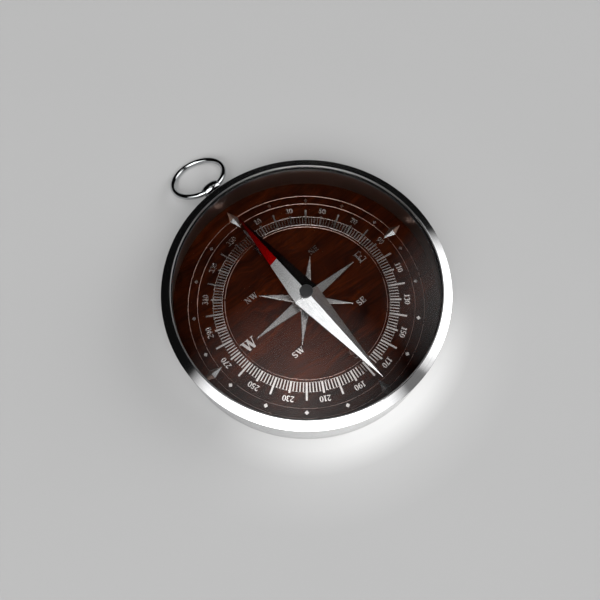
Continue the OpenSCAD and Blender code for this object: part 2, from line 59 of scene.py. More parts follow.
MM = 0.001
SAME_POINT, NO_LENGTH, LOOSE_CORNER = 1e-7, 1e-8, 1e-6  # In metres.
CREASE, BROKEN_FROM = math.radians(40), math.radians(30)
SIDE_SHARE, ON_AXIS = 0.4, 1e-9
LEAD = 1.15  # Where a flat side's last point lies, in roundings from the corner.
RIDGE_STEPS, BACK_STEPS = 360, 9
MID_NOISE = (0.3, 0.7)  # Most values of a noise lie between these.


class Axis(Enum):
    """Axis of a turned piece: directions of its radius at 0 and 90 degrees and of its length."""

    X = ((0.0, 1.0, 0.0), (0.0, 0.0, 1.0), (1.0, 0.0, 0.0))
    Y = ((0.0, 0.0, 1.0), (1.0, 0.0, 0.0), (0.0, 1.0, 0.0))
    Z = ((1.0, 0.0, 0.0), (0.0, 1.0, 0.0), (0.0, 0.0, 1.0))


class Lay(Enum):
    """Direction of the fine lines that a tool or a brush leaves on metal."""

    ROUND = "round"
    RADIAL = "radial"


# ---- Meshes ----


def new_piece(name: str, points: np.ndarray, quads: np.ndarray) -> Piece:
    """A new object in the scene, at the origin.

    Args:
        name: Name of the object and its mesh.
        points: Points in millimetres, with x, y and z along the last axis.
        quads: Corner indices, four columns.

    Returns:
        The new object.
    """
    mesh = bpy.data.meshes.new(name)
    mesh.from_pydata((points.reshape(-1, 3) * MM).tolist(), [], quads.tolist())
    piece = bpy.data.objects.new(name, mesh)
    bpy.context.scene.collection.objects.link(piece)
    return piece


def make_piece(name: str, points: np.ndarray, quads: np.ndarray) -> Piece:
    """A closed, smooth-shaded piece.

    Points that coincide, such as those at a pole, are merged, and normals then point outwards.

    Args:
        name: Name of the piece.
        points: Points in millimetres, with x, y and z along the last axis.
        quads: Corner indices, four columns.

    Returns:
        The new object.
    """
    piece = new_piece(name, points, quads)
    shape = bmesh.new()
    shape.from_mesh(piece.data)
    bmesh.ops.remove_doubles(shape, verts=shape.verts, dist=SAME_POINT)
    bmesh.ops.dissolve_degenerate(shape, edges=shape.edges, dist=NO_LENGTH)
    bmesh.ops.recalc_face_normals(shape, faces=shape.faces)
    shape.to_mesh(piece.data)
    shape.free()
    piece.data.shade_smooth()
    piece.data.set_sharp_from_angle(angle=CREASE)
    return piece


def grid_quads(rows: int, cols: int) -> np.ndarray:
    """Corner indices of the quads of a grid of points that closes on itself both ways.

    Point j of row i has the number i * cols + j, and its quad runs on to the next row and point.

    Args:
        rows: Number of rows of points.
        cols: Number of points in a row.

    Returns:
        An array with four indices for each quad.
    """
    i, j = np.arange(rows)[:, None], np.arange(cols)[None, :]
    i_next, j_next = (i + 1) % rows, (j + 1) % cols
    corners = (i * cols + j, i_next * cols + j, i_next * cols + j_next, i * cols + j_next)
    return np.stack(np.broadcast_arrays(*corners), axis=-1).reshape(-1, 4)


def closed_grid(name: str, points: np.ndarray) -> Piece:
    """A piece from rows of points that close on themselves both ways."""
    return make_piece(name, points, grid_quads(*points.shape[:2]))


def once_round(steps: int) -> np.ndarray:
    """The turns of even steps once round, in radians."""
    return np.arange(steps) * 2 * math.pi / steps


def softened(corners: Sequence[Sequence[float]], setback: float, steps: int = 6) -> np.ndarray:
    """A closed outline with its corners rounded.

    Each corner P becomes the curve (1-s)^2 A + 2 s (1-s) P + s^2 B, where A and B lie at the
    setback from P along its two sides, or at 0.4 of a shorter side. One more point just before A
    and just after B keeps the flat sides flat in their shading. Corners on the axis stay sharp.

    Args:
        corners: Radius and height of each corner, in order.
        setback: Distance from a corner at which its rounding starts.
        steps: Number of points on a rounding.

    Returns:
        The outline's points, radius and height.
    """
    p = np.asarray(corners, float)
    s = np.linspace(0, 1, steps)[None, :, None]
    sides = [np.roll(p, shift, axis=0) - p for shift in (1, -1)]
    lengths = [np.linalg.norm(side, axis=1, keepdims=True) for side in sides]
    reach = np.minimum(setback, SIDE_SHARE * np.minimum(*lengths))
    reach = np.where(p[:, :1] <= ON_AXIS, 0.0, reach)
    to_a, to_b = (side / length * reach for side, length in zip(sides, lengths))
    a, b = (p + to_a)[:, None], (p + to_b)[:, None]
    curve = (1 - s) ** 2 * a + 2 * s * (1 - s) * p[:, None] + s**2 * b
    before, after = (p + to_a * LEAD)[:, None], (p + to_b * LEAD)[:, None]
    return np.concatenate([before, curve, after], axis=1).reshape(-1, 2)


def turned(name: str, outline: np.ndarray, segments: int, axis: Axis = Axis.Z,
           centre: Sequence[float] = (0.0, 0.0, 0.0)) -> Piece:
    """A turned piece: each point of the outline runs once round the axis.

    The point at turn t is centre + r (cos t U + sin t V) + h W, with U, V and W of the axis.

    Args:
        name: Name of the piece.
        outline: Closed outline, radius and height along the axis.
        segments: Steps in a full turn.
        axis: Axis that the outline turns round.
        centre: Point that radius and height are measured from.

    Returns:
        The new object.
    """
    u, v, w = (np.array(direction) for direction in axis.value)
    t = once_round(segments)[:, None, None]
    r, h = outline[None, :, :1], outline[None, :, 1:]
    return closed_grid(name, np.asarray(centre) + r * (np.cos(t) * u + np.sin(t) * v) + h * w)


def ridge_ring(radius: float, width: float, base: float, top: float) -> Faces:
    """A low ring with a flat underside and a round back, which is half an oval.

    At turn v over the back, radius and height are r + (w / 2) cos v and base + (top - base) sin v.

    Args:
        radius: Radius of the middle of the ring.
        width: Width of the ring.
        base: Height of its lower face.
        top: Height of its back.

    Returns:
        Its points and quads.
    """
    t = once_round(RIDGE_STEPS)[:, None]
    v = np.linspace(0, math.pi, BACK_STEPS)[None, :]
    r = radius + width / 2 * np.cos(v)
    h = base + (top - base) * np.sin(v) + 0 * t
    points = np.stack([r * np.sin(t), r * np.cos(t), h], axis=-1)
    return points.reshape(-1, 3), grid_quads(RIDGE_STEPS, BACK_STEPS)


def studs(bearings: np.ndarray, across: np.ndarray, outwards: np.ndarray, base: float,
          top: float) -> Faces:
    """Upright four-sided studs on the dial.

    A corner with offset a across and distance d outwards lies, for the bearing b, at
    x = a cos b + d sin b and y = d cos b - a sin b.

    Args:
        bearings: Bearing of each stud in radians.
        across: Offset of the four corners of each stud, or of all of them, in one row.
        outwards: Distance of the four corners from the centre, likewise.
        base: Height of their lower faces.
        top: Height of their upper faces.

    Returns:
        Their points and quads.
    """
    sine, cosine = np.sin(bearings)[:, None], np.cos(bearings)[:, None]
    x = across * cosine + outwards * sine
    y = outwards * cosine - across * sine
    points = np.stack([np.stack([x, y, 0 * x + level], axis=-1) for level in (base, top)], axis=1)
    one = np.array([[0, 1, 2, 3], [4, 7, 6, 5], [0, 4, 5, 1], [1, 5, 6, 2], [2, 6, 7, 3],
                    [3, 7, 4, 0]])
    quads = one[None] + 8 * np.arange(len(bearings))[:, None, None]
    return points.reshape(-1, 3), quads.reshape(-1, 4)


def joined(parts: Sequence[Faces]) -> Faces:
    """Joins several parts into one.

    Args:
        parts: Points and quads of each part.

    Returns:
        The points and quads of all of them, as one list each.
    """
    starts = np.cumsum([0] + [len(points) for points, _ in parts[:-1]])
    return (np.concatenate([points for points, _ in parts]),
            np.concatenate([quads + start for start, (_, quads) in zip(starts, parts)]))


# ---- Shader nodes ----


class Graph:
    """Adds nodes to one material's or one group's tree and links them."""

    def __init__(self, tree: bpy.types.NodeTree) -> None:
        """Works on the given tree."""
        self.tree = tree

    def feed(self, socket: Socket, value: Any) -> None:
        """Links a socket to another one, or sets its constant.

        Args:
            socket: Input to feed.
            value: Socket or constant. None leaves the input as it is.
        """
        if isinstance(value, Socket):
            self.tree.links.new(value, socket)
        elif value is not None:
            socket.default_value = (*value, 1.0) if socket.type == "RGBA" else value

    def node(self, kind: str, *values: Any, **settings: Any) -> Node:
        """Adds a node.

        Args:
            kind: Blender's type name without "ShaderNode".
            values: What its first inputs get, in order.
            settings: Properties of the node.

        Returns:
            The node.
        """
        made = self.tree.nodes.new("ShaderNode" + kind)
        for key, value in settings.items():
            setattr(made, key, value)
        for socket, value in zip(made.inputs, values):
            self.feed(socket, value)
        return made

    def named(self, node: Node, **values: Any) -> Node:
        """Feeds a node's inputs by name.

        Args:
            node: The node.
            values: What its inputs get, with underscores for the spaces in their names.

        Returns:
            The same node.
        """
        for key, value in values.items():
            self.feed(node.inputs[key.replace("_", " ")], value)
        return node

    def math(self, operation: str, *values: Any, clamp: bool = False) -> Socket:
        """A Math node's result for up to three values."""
        return self.node("Math", *values, operation=operation, use_clamp=clamp).outputs[0]

    def product(self, first: Any, second: Any) -> Socket:
        """The product of two values."""
        return self.math("MULTIPLY", first, second)

    def plus(self, base: Any, *masks: tuple[Any, float]) -> Socket:
        """A value with masks added to it.

        Args:
            base: The value.
            masks: Each mask and its weight.

        Returns:
            The sum's socket.
        """
        for mask, weight in masks:
            base = self.math("ADD", base, self.product(mask, weight))
        return base

    def vector(self, operation: str, *values: Any, output: Any = 0) -> Socket:
        """A Vector Math node's result, from its output of the given place or name."""
        return self.node("VectorMath", *values, operation=operation).outputs[output]

    def scaled(self, vector: Any, factor: Any) -> Socket:
        """A vector times a number."""
        return self.vector("SCALE", vector, None, None, factor)

    def mix(self, share: Any, first: Any, second: Any) -> Socket:
        """A colour that is the second by its share, from 0 to 1, and the first by the rest."""
        return self.node("Mix", share, *[None] * 5, first, second, data_type="RGBA").outputs[2]

    def tint(self, colour: Any, mask: Any, share: float, tone: Colour) -> Socket:
        """A colour with a tone laid over it by a share of the mask."""
        return self.mix(self.product(mask, share), colour, tone)

    def between(self, value: Any, low: float, high: float, out_low: float = 0.0,
                out_high: float = 1.0, smooth: bool = False) -> Socket:
        """Maps a value from one range onto another and clamps it.

        Args:
            value: Value or socket.
            low: Start of the range it comes from.
            high: End of that range.
            out_low: Result at the start.
            out_high: Result at the end.
            smooth: Whether the ends ease in and out.

        Returns:
            The mapped value's socket.
        """
        return self.node("MapRange", value, low, high, out_low, out_high, clamp=True,
                         interpolation_type="SMOOTHSTEP" if smooth else "LINEAR").outputs[0]

    def ramp(self, value: Any, stops: Sequence[tuple[float, Colour]]) -> Socket:
        """A colour ramp.

        Args:
            value: Socket of the place on the ramp.
            stops: Place and colour of each stop.

        Returns:
            The colour's socket.
        """
        made = self.node("ValToRGB", value)
        band = made.color_ramp
        while len(band.elements) < len(stops):
            band.elements.new(0.5)
        for element, (place, colour) in zip(band.elements, stops):
            element.position = place
            element.color = (*colour, 1.0)
        return made.outputs[0]

    def noise(self, vector: Any, scale: float = 1.0, detail: float = 2.0, rough: float = 0.5,
              distortion: float = 0.0, w: Any = None) -> Socket:
        """A noise value, in four dimensions where w is given.

        Args:
            vector: Socket of the place.
            scale: Cells per unit of the vector.
            detail: Number of finer layers.
            rough: Strength of the finer layers.
            distortion: How far the pattern is drawn aside.
            w: Fourth coordinate.

        Returns:
            The noise value's socket.
        """
        made = self.node("TexNoise", noise_dimensions="3D" if w is None else "4D")
        if w is not None:
            self.feed(made.inputs["W"], w)
        return self.named(made, Vector=vector, Scale=scale, Detail=detail, Roughness=rough,
                          Distortion=distortion).outputs[0]

    def cells(self, vector: Any, feature: str) -> Socket:
        """The distance value of a pattern of cells, one to a unit of the vector."""
        made = self.named(self.node("TexVoronoi", feature=feature), Vector=vector, Scale=1.0)
        return made.outputs["Distance"]

    def place(self, scale: Sequence[float] = (1.0, 1.0, 1.0), turn: float = 0.0) -> Socket:
        """The Object coordinates in millimetres, stretched and turned about Z.

        Args:
            scale: Factor along each axis.
            turn: Turn about Z in degrees.

        Returns:
            The vector's socket.
        """
        return self.node("Mapping", self.node("TexCoord").outputs["Object"], None,
                         (0.0, 0.0, math.radians(turn)),
                         [factor / MM for factor in scale]).outputs[0]

    def polar(self) -> tuple[Socket, Socket, Socket]:
        """Polar coordinates about the dial's centre.

        Returns:
            The direction from the centre as a unit vector, the radius and the height.
        """
        x, y, height = self.node("SeparateXYZ", self.place()).outputs
        flat = self.node("CombineXYZ", x, y).outputs[0]
        return self.vector("NORMALIZE", flat), self.vector("LENGTH", flat, output="Value"), height

    def shared(self, name: str, **values: Any) -> Socket:
        """The result of a shared group, whose inputs are fed by name."""
        made = self.node("Group", node_tree=bpy.data.node_groups[name])
        return self.named(made, **values).outputs[0]

    def bump(self, height: Any, strength: float, depth: float) -> Socket:
        """A bumped normal.

        Args:
            height: Socket of the height, 0 to 1.
            strength: Strength of the effect.
            depth: Depth of the bump in millimetres.

        Returns:
            The normal's socket.
        """
        return self.named(self.node("Bump"), Strength=strength, Distance=depth * MM,
                          Height=height).outputs[0]


class SharedGroup(Graph):
    """A new shader node group with number inputs and one number output."""

    def __init__(self, name: str, output: str, **inputs: float) -> None:
        """Makes the group.

        Args:
            name: Name of the group.
            output: Name of its output.
            inputs: Name and default of each input.
        """
        super().__init__(bpy.data.node_groups.new(name, "ShaderNodeTree"))
        sockets = self.tree.interface
        for label, default in inputs.items():
            sockets.new_socket(name=label, in_out="INPUT",
                               socket_type="NodeSocketFloat").default_value = default
        sockets.new_socket(name=output, in_out="OUTPUT", socket_type="NodeSocketFloat")
        self.given = self.tree.nodes.new("NodeGroupInput").outputs

    def give(self, value: Socket) -> None:
        """Puts a value out."""
        self.feed(self.tree.nodes.new("NodeGroupOutput").inputs[0], value)


class Surface(Graph):
    """The nodes of a new material round its Principled shader."""

    def __init__(self, name: str) -> None:
        """Makes the material.

        Args:
            name: Name of the material.
        """
        self.material = bpy.data.materials.new(name)
        self.material.use_nodes = True
        super().__init__(self.material.node_tree)
        self.shader = self.tree.nodes["Principled BSDF"]

    def finished(self, colour: Any, rough: Any, normal: Any = None, **plain: float) -> Material:
        """Feeds the shader.

        Args:
            colour: Base colour.
            rough: Roughness.
            normal: Bumped normal.
            plain: Further inputs, which are the same all over.

        Returns:
            The material.
        """
        self.named(self.shader, Base_Color=colour, Roughness=rough, Normal=normal, **plain)
        return self.material


def build_tool_lines(lay: Lay) -> None:
    """Builds the group of the fine lines that turning or brushing leaves on metal.

    Round lines vary with radius and height and hardly along the turn, and radial lines vary with
    the direction from the centre and hardly along the radius.

    Args:
        lay: Direction of the lines.
    """
    graph = SharedGroup(f"tool_lines_{lay.value}", "Lines", Density=4.0, Run=2.0)
    density, run = graph.given["Density"], graph.given["Run"]
    unit, radius, height = graph.polar()
    if lay is Lay.ROUND:
        across = graph.product(graph.math("ADD", radius, height), density)
    else:
        run = graph.product(density, 8.0)
        across = graph.product(radius, 0.12)
    graph.give(graph.noise(graph.scaled(unit, run), detail=4.0, rough=0.65, w=across))


def build_smudges() -> None:
    """Builds the group of faint wiped patches, which dull a polish a little."""
    graph = SharedGroup("smudges", "Mask", Size=6.0)
    cells = graph.math("DIVIDE", 1.0, graph.given["Size"])
    where = graph.scaled(graph.place((1.0, 0.7, 1.0), turn=25.0), cells)
    cloud = graph.noise(where, detail=3.0, rough=0.6, distortion=0.6)
    graph.give(graph.between(cloud, 0.42, 0.68, smooth=True))


def build_scratches() -> None:
    """Builds the group of hairline scratches: thin cell edges stretched along two ways."""
    graph = SharedGroup("scratches", "Mask", Spread=0.35)
    masks = []
    for turn, stretch in ((20.0, 0.09), (-55.0, 0.14)):
        where = graph.scaled(graph.place((stretch, 1.0, 1.0), turn=turn), graph.given["Spread"])
        line = graph.between(graph.cells(where, "DISTANCE_TO_EDGE"), 0.0, 0.012, 1.0, 0.0)
        kept = graph.between(graph.noise(where, 0.9), 0.52, 0.6)
        masks.append(graph.product(line, kept))
    graph.give(graph.math("MAXIMUM", *masks))


def build_dust() -> None:
    """Builds the group of fine dust: small round specks on faces that look up."""
    graph = SharedGroup("dust", "Mask", Density=1.2, Amount=0.5)
    where = graph.scaled(graph.place(), graph.given["Density"])
    speck = graph.between(graph.cells(where, "F1"), 0.04, 0.09, 1.0, 0.0)
    kept = graph.between(graph.noise(where, 0.37), 0.55, 0.6)
    normal = graph.node("SeparateXYZ", graph.node("NewGeometry").outputs["Normal"])
    up = graph.between(normal.outputs[2], 0.4, 0.9)
    mask = graph.product(graph.product(speck, kept), up)
    graph.give(graph.product(mask, graph.given["Amount"]))


def build_groups() -> None:
    """Builds every shared node group once."""
    for lay in Lay:
        build_tool_lines(lay)
    build_smudges()
    build_scratches()
    build_dust()


# ---- Finishes ----


def times(tone: Colour, factor: float) -> Colour:
    """A tone made darker or lighter by a factor."""
    return tuple(factor * part for part in tone)


@dataclass(frozen=True)
class WorkedMetal:
    """Bare metal with tool lines, smudges and fine scratches.

    The roughness runs between two values with the lines, and the smudges add to it. Within the
    inside radius and below the inside level the metal is plain, with a darker painted tone as
    painted shade in place of its own colour.
    """

    name: str
    tone: Colour
    dull_tone: Colour
    smooth: float
    rough: float
    lay: Lay = Lay.ROUND
    density: float = 5.0
    run: float = 2.0
    relief: float = 0.15
    depth: float = 0.01
    smudge: float = 0.06
    smudge_size: float = 7.0
    smudge_tint: float = 0.12
    scratched: float = 0.08
    scratch_spread: float = 0.35
    dusty: float = 0.3
    dust_share: float = 0.5
    dust_rough: float = 0.4
    dust_tone: Colour = (0.55, 0.53, 0.5)
    inside_radius: float = 0.0
    inside_level: float = 100.0
    inside_fade: float = 0.1
    level_fade: float = 0.04
    inside_rough: float = 0.05
    inside_smudge: float = 0.03
    painted_inside_tone: Colour = (0.1, 0.1, 0.1)

    def build(self) -> Material:
        """Builds the material.

        Returns:
            The material.
        """
        graph = Surface(self.name)
        lines = graph.shared(f"tool_lines_{self.lay.value}", Density=self.density, Run=self.run)
        smudge = graph.shared("smudges", Size=self.smudge_size)
        scratch = graph.shared("scratches", Spread=self.scratch_spread)
        dust = graph.shared("dust", Amount=self.dusty)
        colour = graph.mix(graph.between(lines, *MID_NOISE), self.dull_tone, self.tone)
        colour = graph.tint(colour, smudge, self.smudge_tint, self.dull_tone)
        colour = graph.tint(colour, dust, self.dust_share, self.dust_tone)
        rough = graph.between(lines, *MID_NOISE, self.rough, self.smooth)
        rough = graph.plus(rough, (smudge, self.smudge), (scratch, self.scratched))
        height = lines
        if self.inside_radius > 0:
            _, radius, level = graph.polar()
            edge, top = self.inside_radius, self.inside_level
            inside = graph.product(
                graph.between(radius, edge, edge + self.inside_fade, 1.0, 0.0),
                graph.between(level, top - self.level_fade, top, 1.0, 0.0))
            plain = graph.plus(self.inside_rough, (smudge, self.inside_smudge))
            rough = graph.node("Mix", inside, None, rough, plain, data_type="FLOAT").outputs[0]
            # Painted shade: inside, the colour is replaced by the darker painted tone.
            colour = graph.mix(inside, colour, self.painted_inside_tone)
            height = graph.product(lines, graph.math("SUBTRACT", 1.0, inside))
        rough = graph.math("ADD", rough, graph.product(dust, self.dust_rough), clamp=True)
        return graph.finished(colour, rough, graph.bump(height, self.relief, self.depth),
                              Metallic=1.0)


@dataclass(frozen=True)
class BrightChrome:
    """Mirror polish with faint wiping marks."""

    name: str
    tone: Colour = (0.52, 0.53, 0.54)
    dulled: float = 0.86
    rough: float = 0.03
    smudge: float = 0.05
    scratched: float = 0.1
    grain: float = 0.02

    def build(self) -> Material:
        """Builds the material.

        Returns:
            The material.
        """
        graph = Surface(self.name)
        smudge = graph.shared("smudges", Size=3.0)
        scratch = graph.shared("scratches", Spread=0.6)
        fine = graph.noise(graph.place(), scale=2.5, detail=3.0)
        return graph.finished(
            graph.tint(self.tone, smudge, 0.25, times(self.tone, self.dulled)),
            graph.plus(self.rough, (smudge, self.smudge), (scratch, self.scratched),
                       (fine, self.grain)),
            graph.bump(fine, strength=0.06, depth=0.01), Metallic=1.0)


@dataclass(frozen=True)
class FlatClearGlass:
    """Clear window glass with faint smudges. Light passes it unbent on its way to the dial."""

    name: str
    tone: Colour = (0.985, 0.99, 0.99)
    dulled: float = 0.985
    index: float = 1.31

    def build(self) -> Material:
        """Builds the material.

        Returns:
            The material.
        """
        graph = Surface(self.name)
        smudge = graph.shared("smudges", Size=9.0)
        scratch = graph.shared("scratches", Spread=0.2)
        way = graph.node("MixShader", graph.node("LightPath").outputs["Is Shadow Ray"],
                         graph.shader.outputs[0], graph.node("BsdfTransparent").outputs[0])
        graph.feed(graph.tree.nodes["Material Output"].inputs["Surface"], way.outputs[0])
        return graph.finished(
            graph.mix(smudge, self.tone, times(self.tone, self.dulled)),
            graph.plus(graph.product(smudge, 0.01), (scratch, 0.02)),
            IOR=self.index, Transmission_Weight=1.0)


@dataclass(frozen=True)
class VarnishedWood:
    """Dark red-brown veneer with its grain along X, under satin varnish.

    Long noise streaks drawn a little aside by a broad swirl give the figure, and finer ones the
    thin dark lines. Over that, a painted pool of light makes the veneer lightest round one place,
    and painted shade darkens it with the distance from it.
    """

    name: str
    deep: Colour = (0.006, 0.001, 0.0002)
    middle: Colour = (0.026, 0.0041, 0.0006)
    light: Colour = (0.056, 0.0098, 0.0015)
    middle_at: float = 0.45
    swirl: float = 11.0
    streaks_along: float = 0.07
    streaks_across: float = 1.1
    streak_share: float = 0.62
    broad_share: float = 0.38
    pore_share: float = 0.7
    fine: float = 0.42
    painted_light_centre: tuple[float, float, float] = (-12.0, -8.5, 1.4)
    painted_light_reach: float = 26.0
    painted_shade_gain: float = 0.47
    painted_light_gain: float = 1.36
    rough: float = 0.3

    def figure(self, graph: Graph) -> Socket:
        """The figure of the veneer.

        Args:
            graph: Graph of the material.

        Returns:
            The socket of a value from 0 in the dark streaks to 1 in the light ones.
        """
        swirl = graph.noise(graph.place((0.045, 0.08, 1.0)), detail=3.0, distortion=0.8)
        x, y, _ = graph.node("SeparateXYZ", graph.place()).outputs
        across = graph.plus(y, (graph.math("SUBTRACT", swirl, 0.5), self.swirl))
        drawn = graph.node("CombineXYZ", graph.product(x, self.streaks_along),
                           graph.product(across, self.streaks_across)).outputs[0]
        streaks = graph.noise(drawn, detail=8.0, rough=0.66)
        mixed = graph.plus(graph.product(streaks, self.streak_share),
                           (graph.noise(drawn, scale=0.22), self.broad_share))
        return graph.between(mixed, 0.38, 0.62)

    def build(self) -> Material:
        """Builds the material.

        Returns:
            The material.
        """
        graph = Surface(self.name)
        figure = self.figure(graph)
        colour = graph.ramp(figure, [(0.0, self.deep), (self.middle_at, self.middle),
                                     (1.0, self.light)])
        pores = graph.noise(graph.place((0.22, 6.0, 1.0)), detail=3.0, rough=0.6)
        pore = graph.between(pores, 0.56, 0.66, smooth=True)
        colour = graph.tint(colour, pore, self.pore_share, self.deep)
        fine = graph.noise(graph.place((0.1, 1.7, 1.0)), detail=3.0, rough=0.55, distortion=0.3)
        colour = graph.mix(graph.between(fine, 0.42, 0.62, 0.0, self.fine), colour, self.deep)
        # Painted light and shade: the colour is scaled up round one place and down away from it.
        away = graph.vector("DISTANCE", graph.place(), self.painted_light_centre, output="Value")
        painted_light_scale = graph.between(away, 0.0, self.painted_light_reach, self.painted_light_gain, self.painted_shade_gain,
                              smooth=True)
        smudge = graph.shared("smudges", Size=8.0)
        height = graph.math("SUBTRACT", graph.product(figure, 0.5), pore)
        return graph.finished(
            graph.scaled(colour, painted_light_scale), graph.plus(self.rough, (smudge, 0.05), (pore, 0.15)),
            graph.bump(height, strength=0.2, depth=0.01), Specular_IOR_Level=0.03)


@dataclass(frozen=True)
class LacqueredNeedle:
    """Bright metal facets with fine long brush lines, and red lacquer over the north end.

    The lacquer deepens towards the tip, and the east facet of the north arm is painted near black
    as painted shade. The facets are ground with a slight lean, which the bump gives as a height
    that rises evenly to the north.
    """

    name: str
    bright: Colour = (0.93, 0.93, 0.93)
    dull: Colour = (0.74, 0.74, 0.75)
    red: Colour = (0.88, 0.002, 0.002)
    deep_red: Colour = (0.26, 0.001, 0.001)
    black: Colour = (0.0, 0.0, 0.0)
    painted_lee_tone: Colour = (0.002, 0.004, 0.006)
    dust_tone: Colour = (0.5, 0.48, 0.46)
    red_start: float = 10.0
    red_length: float = 12.0
    red_edge: float = 0.02
    rough: float = 0.19
    painted_lee_share: float = 0.96
    lean: float = 0.065
    brushed: float = 0.0004

    def build(self) -> Material:
        """Builds the material.

        Returns:
            The material.
        """
        graph = Surface(self.name)
        x, y, _ = graph.node("SeparateXYZ", graph.place()).outputs
        start, edge = self.red_start, self.red_edge
        painted = graph.between(y, start - edge, start + edge)
        brush = graph.noise(graph.place((9.0, 0.5, 4.0)), detail=3.0, rough=0.6)
        dust = graph.shared("dust", Density=1.8, Amount=0.15)
        tone = graph.mix(graph.between(brush, 0.35, 0.7), self.bright, self.dull)
        deeper = graph.between(y, start, start + self.red_length)
        lacquer = graph.tint(graph.mix(deeper, self.red, self.deep_red), brush, 0.2, self.black)
        # Painted shade: the east facet of the north arm, where x and y are both above zero, is
        # darkened to near black.
        painted_lee = graph.product(graph.between(x, -0.02, 0.02), graph.between(y, -0.03, 0.03))
        colour = graph.mix(painted, tone, lacquer)
        colour = graph.tint(colour, painted_lee, self.painted_lee_share, self.painted_lee_tone)
        colour = graph.tint(colour, dust, 0.2, self.dust_tone)
        height = graph.plus(graph.product(y, self.lean), (brush, self.brushed))
        return graph.finished(
            colour, graph.between(brush, *MID_NOISE, self.rough - 0.02, self.rough + 0.04),
            graph.bump(height, strength=1.0, depth=1.0), Metallic=1.0)


@dataclass(frozen=True)
class SoftRubber:
    """Matt black rubber with a fine tooth."""

    name: str
    tone: Colour = (0.004, 0.004, 0.0042)
    worn: float = 1.8

    def build(self) -> Material:
        """Builds the material.

        Returns:
            The material.
        """
        graph = Surface(self.name)
        tooth = graph.noise(graph.place(), scale=6.0, detail=4.0)
        return graph.finished(
            graph.mix(tooth, self.tone, times(self.tone, self.worn)),
            graph.between(tooth, *MID_NOISE, 0.55, 0.8),
            graph.bump(tooth, strength=0.3, depth=0.02), Specular_IOR_Level=0.12)


@dataclass(frozen=True)
class CutJewel:
    """Deep red synthetic jewel with a polish."""

    name: str
    tone: Colour = (0.55, 0.02, 0.08)
    cloudy: float = 0.6
    index: float = 1.76

    def build(self) -> Material:
        """Builds the material.

        Returns:
            The material.
        """
        graph = Surface(self.name)
        cloud = graph.noise(graph.place(), scale=1.5, detail=3.0)
        return graph.finished(
            graph.mix(cloud, self.tone, times(self.tone, self.cloudy)),
            graph.between(cloud, *MID_NOISE, 0.03, 0.08), IOR=self.index, Transmission_Weight=0.6)


# ---- The compass ----


def stand_in(piece: Piece, finish: Material, node: str, body: str) -> None:
    """Dresses a new piece and makes it stand for the solid with the given name.

    Args:
        piece: The new piece.
        finish: Its material.
        node: Solid that it replaces.
        body: Body that it rides on.
    """
    piece.data.materials.append(finish)
    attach(piece, body)
    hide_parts(node)
    log.info("%s: %d faces, rides on %s", piece.name, len(piece.data.polygons), body)


def refine(names: Sequence[str], finish: Material, edge: float, segments: int = 1) -> None:
    """Finishes solids that keep their shape: joins their triangles and breaks sharp edges.

    Args:
        names: Names of the solids.
        finish: Their material.
        edge: Width of a broken edge in millimetres.
        segments: Faces across it.
    """
    for name in names:
        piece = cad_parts[name]
        piece.modifiers.new("join", "WELD").merge_threshold = LOOSE_CORNER
        bevel = piece.modifiers.new("ease", "BEVEL")
        bevel.width, bevel.segments = edge * MM, segments
        bevel.limit_method, bevel.angle_limit = "ANGLE", BROKEN_FROM
        bevel.harden_normals = True
        piece.data.materials.clear()
        piece.data.materials.append(finish)
        log.info("%s: keeps its solid", name)


